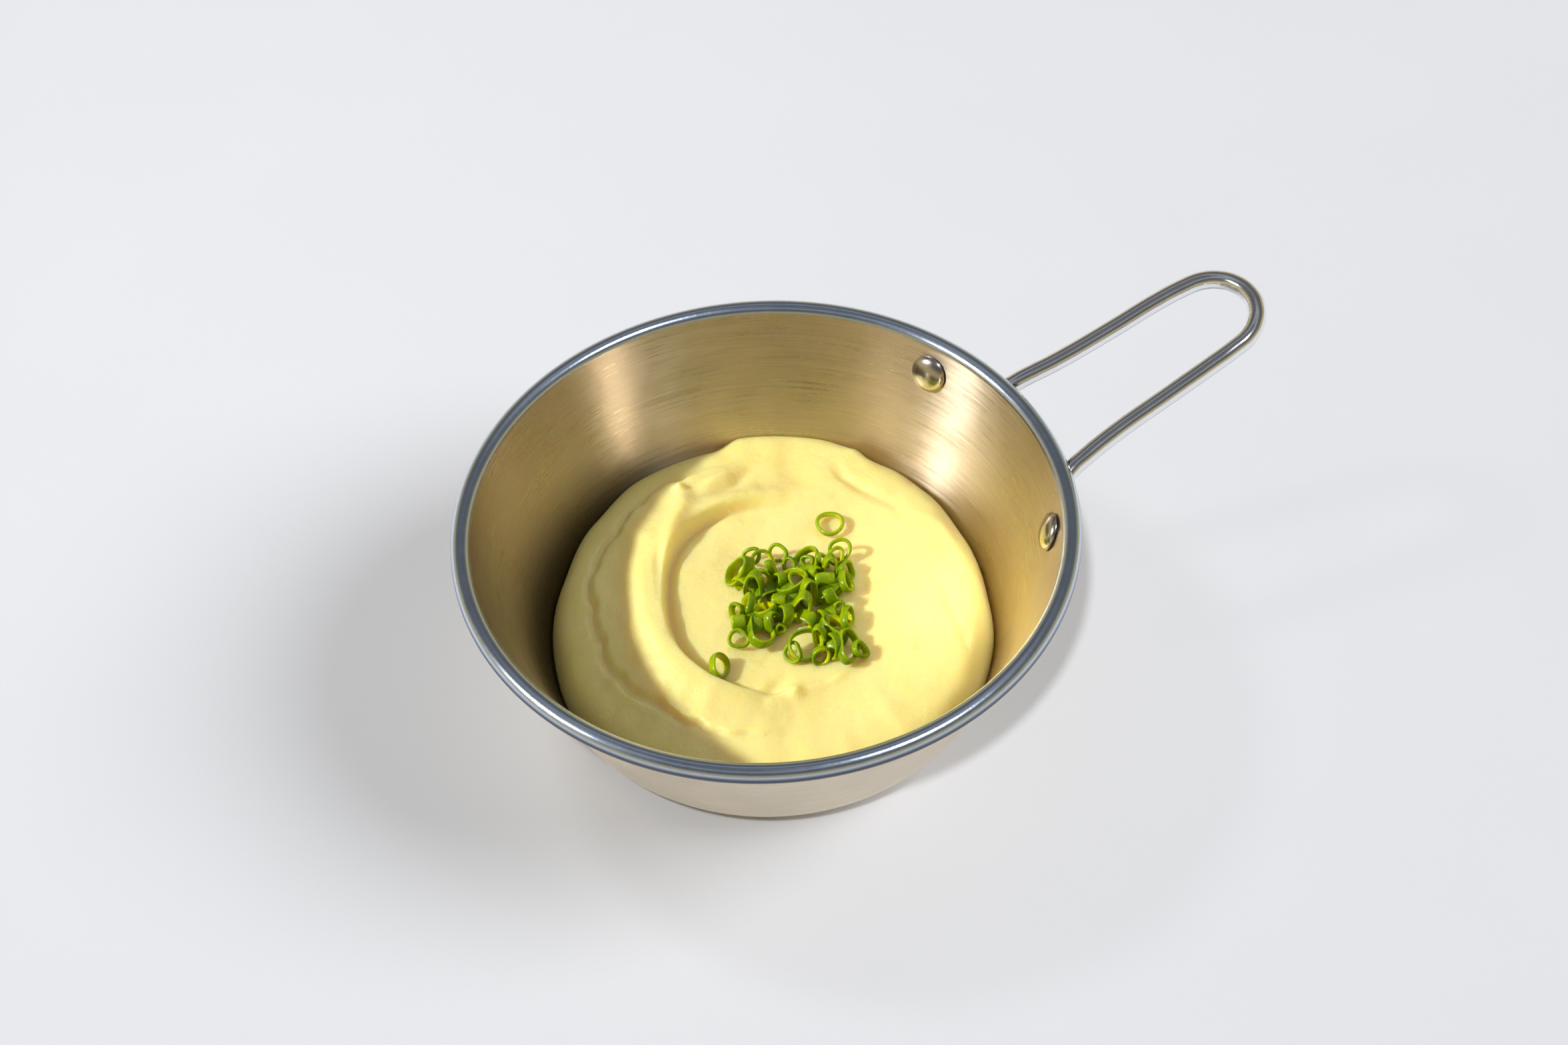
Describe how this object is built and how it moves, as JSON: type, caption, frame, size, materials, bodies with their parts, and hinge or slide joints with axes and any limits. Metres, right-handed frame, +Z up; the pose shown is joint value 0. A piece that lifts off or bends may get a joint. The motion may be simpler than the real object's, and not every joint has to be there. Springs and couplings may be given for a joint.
{
  "type": "mashed potato side",
  "caption": "Side of smooth mashed potato topped with chopped spring onion, in a small round steel bowl with a rolled lip and a riveted wire loop handle.",
  "frame": {"origin": "centre of the bowl's flat underside, on its axis", "axes": "+Z up along the bowl's axis; +X along the handle; +Y to its left"},
  "size_m": [0.1762, 0.125, 0.0553],
  "materials": {
    "bowl_steel": "brushed round the bowl inside, satin outside, polished lip",
    "wire_steel": "polished",
    "rivet_steel": "polished",
    "mash": "moist, smooth, slightly glossy cooked food",
    "spring_onion": "moist, glossy fresh leaf"
  },
  "bodies": {
    "root": {"bowl": "bowl_steel", "handle": "wire_steel", "rivet_1": "rivet_steel", "rivet_2": "rivet_steel", "mashed_potato": "mash", "spring_onion_heap": "spring_onion", "spring_onion_ring_1": "spring_onion", "spring_onion_ring_2": "spring_onion"}
  },
  "joints": []
}
